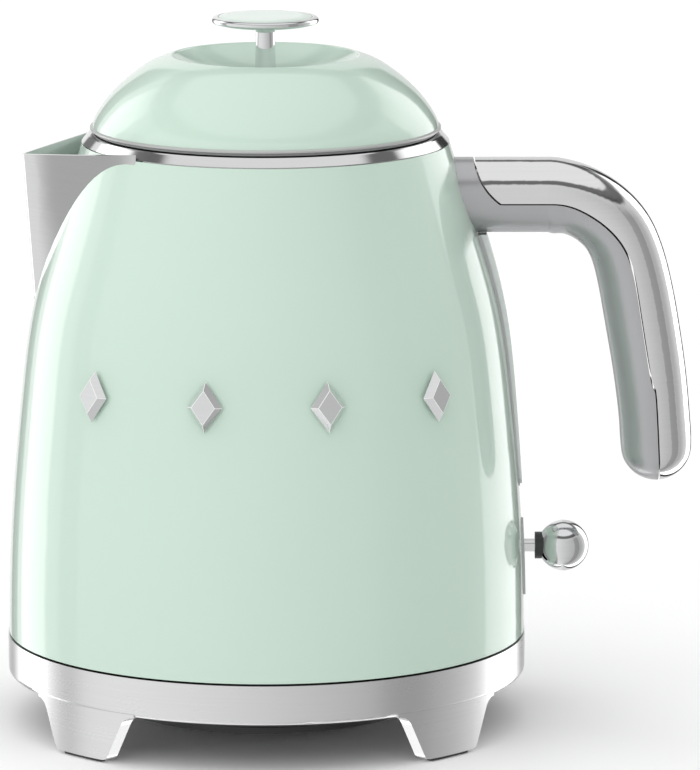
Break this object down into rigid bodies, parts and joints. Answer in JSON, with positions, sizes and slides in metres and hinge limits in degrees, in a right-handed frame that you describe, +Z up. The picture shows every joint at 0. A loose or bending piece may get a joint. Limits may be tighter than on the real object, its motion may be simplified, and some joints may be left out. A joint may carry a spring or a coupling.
{
  "type": "cordless electric jug kettle",
  "caption": "Domed mint-green electric jug kettle with a lift-off knobbed lid, side spout, open-ended handle, ball-tipped switch lever and footed power base.",
  "frame": {"origin": "on the jug's vertical axis, on the plane of the worktop under the foot pads", "axes": "+Z up along the jug's axis, +X towards the handle, -X towards the spout, -Y towards the front with the studs"},
  "size_m": [0.2056, 0.1558, 0.2132],
  "materials": {
    "satin_metal": "satin silver cast base",
    "foot_rubber": "matt rubber",
    "black_plastic": "fine textured moulding",
    "screw_steel": "plated screw",
    "contact_brass": "bright contact brass",
    "pale_plastic": "pale moulding",
    "mint_paint": "glossy enamel paint",
    "polished_steel": "mirror polished",
    "brushed_steel": "brushed",
    "silicone": "soft silicone",
    "aluminium": "bare aluminium",
    "element_sheath": "dull sheath",
    "clear_window": "clear moulded strip",
    "window_trim": "dark trim",
    "polished_handle": "polished",
    "satin_grey": "satin metallic grey",
    "chrome": "mirror chrome",
    "bead_grey": "grey bead",
    "grey_plastic": "dark grey moulding"
  },
  "bodies": {
    "power_base": {"base_ring": "satin_metal", "foot_pads": "foot_rubber", "cord_bush": "black_plastic", "base_deck": "black_plastic", "base_cover": "black_plastic", "base_screws": "screw_steel", "connector_plug": "black_plastic", "earth_pin": "contact_brass", "contact_rings": "contact_brass"},
    "swivel_ring": {"glide_ring": "pale_plastic"},
    "jug": {"body_shell": "mint_paint", "neck_collar": "polished_steel", "spout": "polished_steel", "filter_rails": "brushed_steel", "plate_seal": "silicone", "heating_plate": "brushed_steel", "steam_grommet": "silicone", "heat_spreader": "aluminium", "heating_element": "element_sheath", "steam_tube": "brushed_steel", "switch_housing": "black_plastic", "bimetal_disc": "contact_brass", "switch_contacts": "contact_brass", "detent_leaf": "brushed_steel", "lever_pin": "screw_steel", "connector_socket": "black_plastic", "underside_cover": "black_plastic", "underside_screws": "screw_steel", "level_window": "clear_window", "window_frame": "window_trim", "window_seal": "silicone", "lever_slot_plate": "window_trim", "handle_shell": "polished_handle", "handle_inner": "satin_grey", "handle_bracket": "brushed_steel", "handle_screws": "screw_steel", "front_studs": "chrome"},
    "filter": {"filter_frame": "pale_plastic", "filter_mesh": "brushed_steel"},
    "lever": {"lever_arm": "black_plastic", "lever_rod": "chrome", "lever_ball": "chrome", "lever_collar": "black_plastic"},
    "lid": {"lid_dome": "mint_paint", "lid_bead": "bead_grey", "lid_cup": "grey_plastic", "lid_seal": "silicone", "lid_bracket": "brushed_steel", "lid_screws": "screw_steel", "knob_stem": "chrome", "knob_nut": "screw_steel", "knob_disc": "chrome", "knob_inset": "mint_paint"}
  },
  "joints": [
    {"name": "jug_swivel", "type": "hinge", "parent": "power_base", "child": "swivel_ring", "pos_m": [0, 0, 0.026], "axis": [0, 0, 1], "continuous": true},
    {"name": "jug_lift", "type": "slide", "parent": "swivel_ring", "child": "jug", "axis": [0, 0, 1], "range_m": [0, 0.06]},
    {"name": "lid_lift", "type": "slide", "parent": "jug", "child": "lid", "axis": [0, 0, 1], "range_m": [0, 0.06]},
    {"name": "switch_lever", "type": "hinge", "parent": "jug", "child": "lever", "pos_m": [0.058, 0, 0.0523], "axis": [0, 1, 0], "range_deg": [0, 20]},
    {"name": "filter_slide", "type": "slide", "parent": "jug", "child": "filter", "axis": [0.2874, 0, 0.9578], "range_m": [0, 0.006]}
  ]
}
